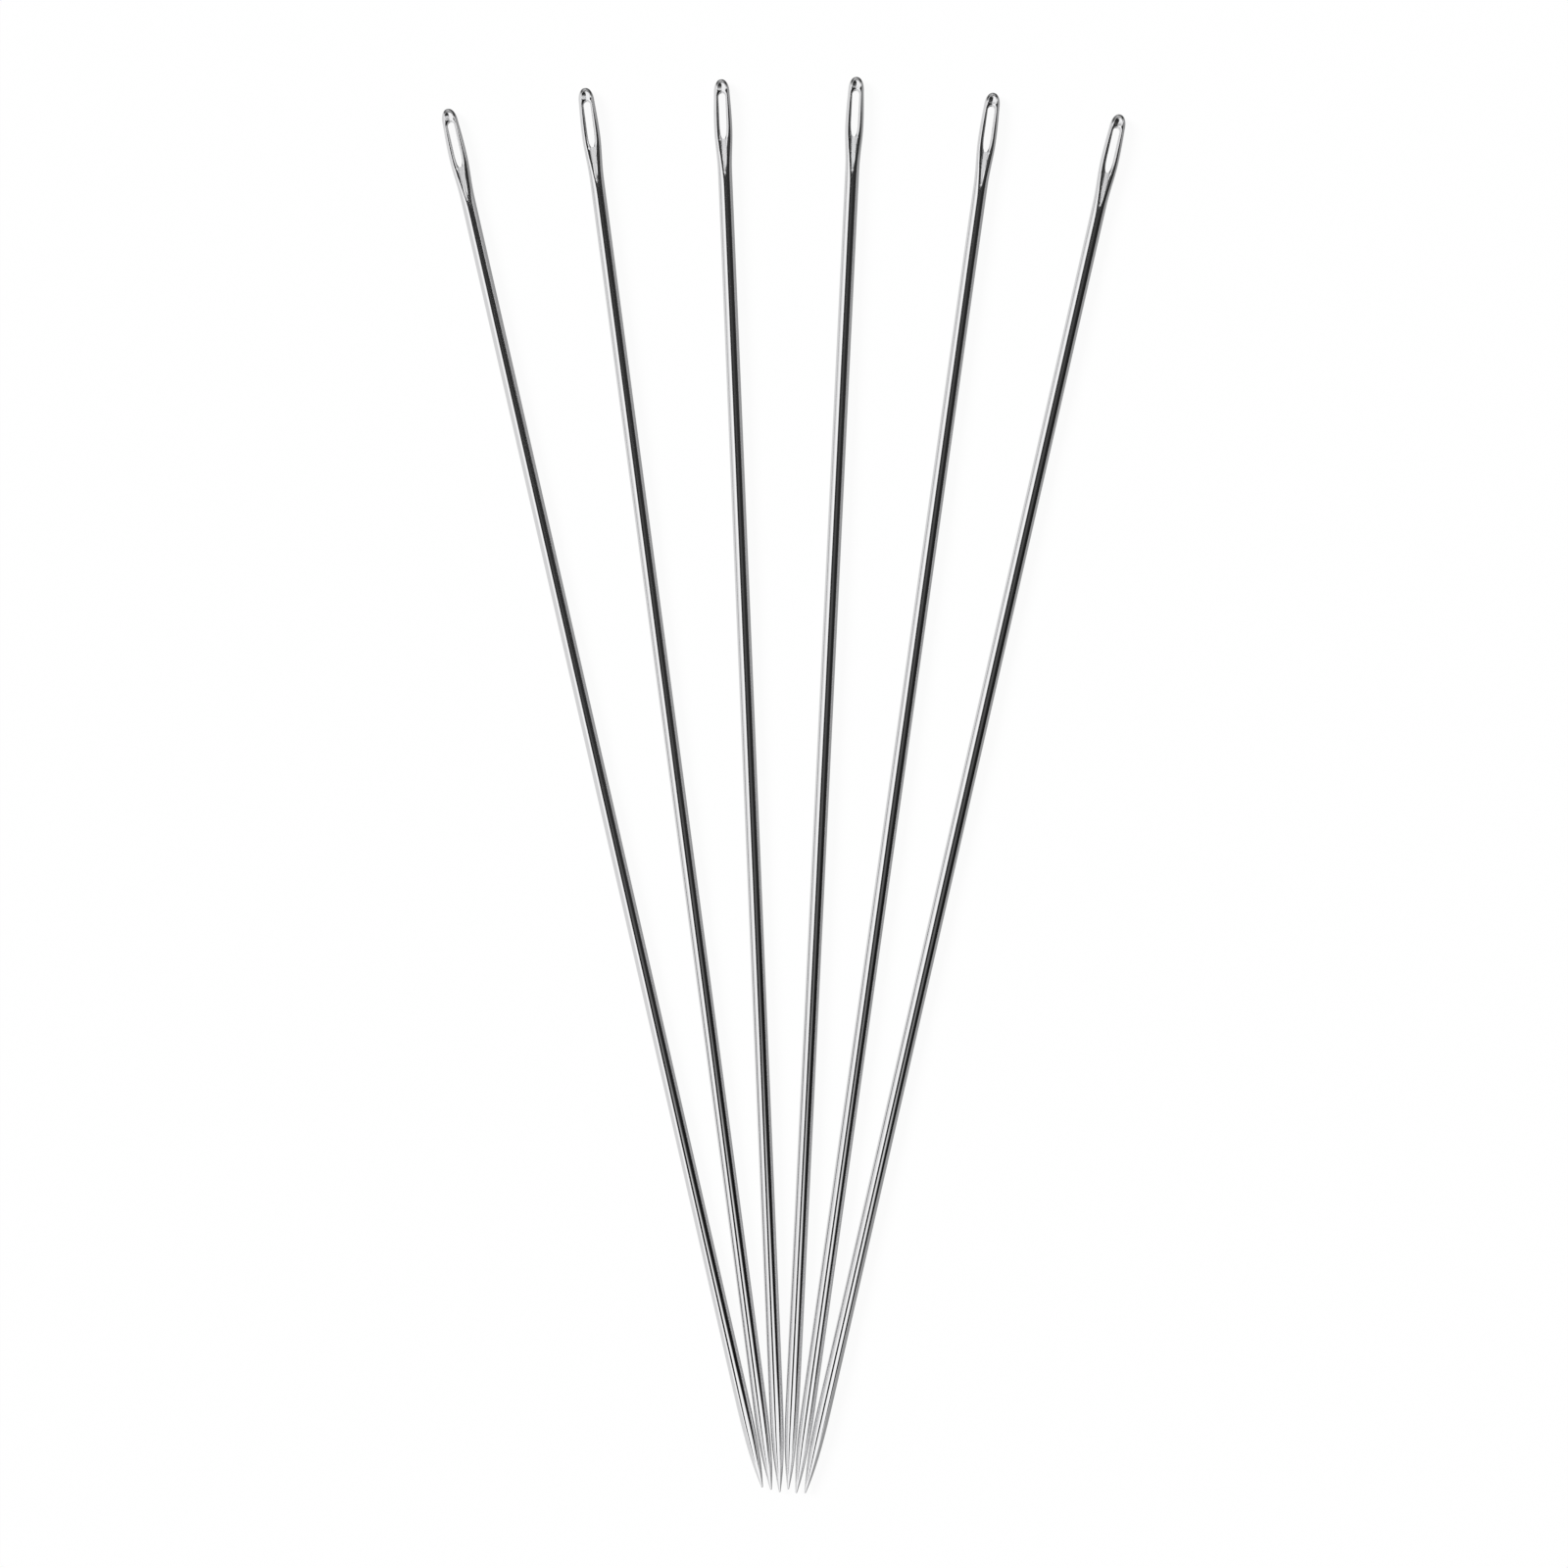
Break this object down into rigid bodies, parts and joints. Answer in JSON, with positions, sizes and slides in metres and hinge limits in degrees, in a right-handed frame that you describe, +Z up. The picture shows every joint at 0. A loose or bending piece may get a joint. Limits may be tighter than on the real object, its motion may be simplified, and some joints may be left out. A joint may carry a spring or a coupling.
{
  "type": "yarn needle set",
  "caption": "long straight wire needles laid in a fan, points together: round shank, long taper to the point, pressed eye end with a long eye and gutters",
  "frame": {"origin": "under the middle of the fan's bounding box, on the surface that the needles lie on", "axes": "+Y from the points towards the eye ends, +X to the right of that, +Z up from the surface"},
  "size_m": [0.0726, 0.1502, 0.0015],
  "materials": {
    "nickel_plated_steel": "polished"
  },
  "bodies": {
    "needle_1": {"needle_1_shank": "nickel_plated_steel", "needle_1_head": "nickel_plated_steel"},
    "needle_2": {"needle_2_shank": "nickel_plated_steel", "needle_2_head": "nickel_plated_steel"},
    "needle_3": {"needle_3_shank": "nickel_plated_steel", "needle_3_head": "nickel_plated_steel"},
    "needle_4": {"needle_4_shank": "nickel_plated_steel", "needle_4_head": "nickel_plated_steel"},
    "needle_5": {"needle_5_shank": "nickel_plated_steel", "needle_5_head": "nickel_plated_steel"},
    "needle_6": {"needle_6_shank": "nickel_plated_steel", "needle_6_head": "nickel_plated_steel"}
  },
  "joints": [
    {"name": "needle_1_lift", "type": "slide", "parent": "needle_4", "child": "needle_1", "axis": [0, 0, 1], "range_m": [0, 0.02]},
    {"name": "needle_2_lift", "type": "slide", "parent": "needle_4", "child": "needle_2", "axis": [0, 0, 1], "range_m": [0, 0.02]},
    {"name": "needle_3_lift", "type": "slide", "parent": "needle_4", "child": "needle_3", "axis": [0, 0, 1], "range_m": [0, 0.02]},
    {"name": "needle_5_lift", "type": "slide", "parent": "needle_4", "child": "needle_5", "axis": [0, 0, 1], "range_m": [0, 0.02]},
    {"name": "needle_6_lift", "type": "slide", "parent": "needle_4", "child": "needle_6", "axis": [0, 0, 1], "range_m": [0, 0.02]}
  ]
}
